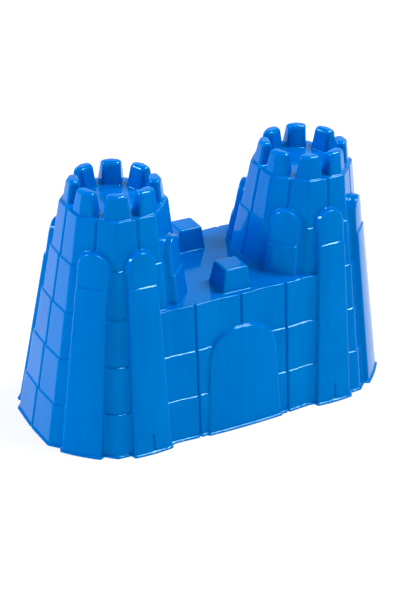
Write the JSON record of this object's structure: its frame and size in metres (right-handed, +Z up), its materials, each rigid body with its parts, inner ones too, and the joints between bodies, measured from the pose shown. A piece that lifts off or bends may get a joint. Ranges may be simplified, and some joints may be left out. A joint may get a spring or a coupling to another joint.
{
  "type": "castle sand bucket",
  "caption": "Thin-walled castle sand mould, open at the foot: round-topped brick towers with hollow merlons, joined by a lower brick wall with an arched gate relief.",
  "frame": {"origin": "middle of the open mouth, on the plane of the lip that it stands on", "axes": "+X along the curtain wall from the left tower to the right tower, +Y from the front of the wall to its back, +Z up to the merlons"},
  "size_m": [0.279, 0.137, 0.1832],
  "materials": {
    "blue_plastic": "smooth moulded plastic with a soft shine, opaque bright blue"
  },
  "bodies": {
    "root": {"left_tower": "blue_plastic", "right_tower": "blue_plastic", "left_crown": "blue_plastic", "right_crown": "blue_plastic", "front_curtain_wall": "blue_plastic", "back_curtain_wall": "blue_plastic", "wall_deck": "blue_plastic", "mouth_lip": "blue_plastic"}
  },
  "joints": []
}
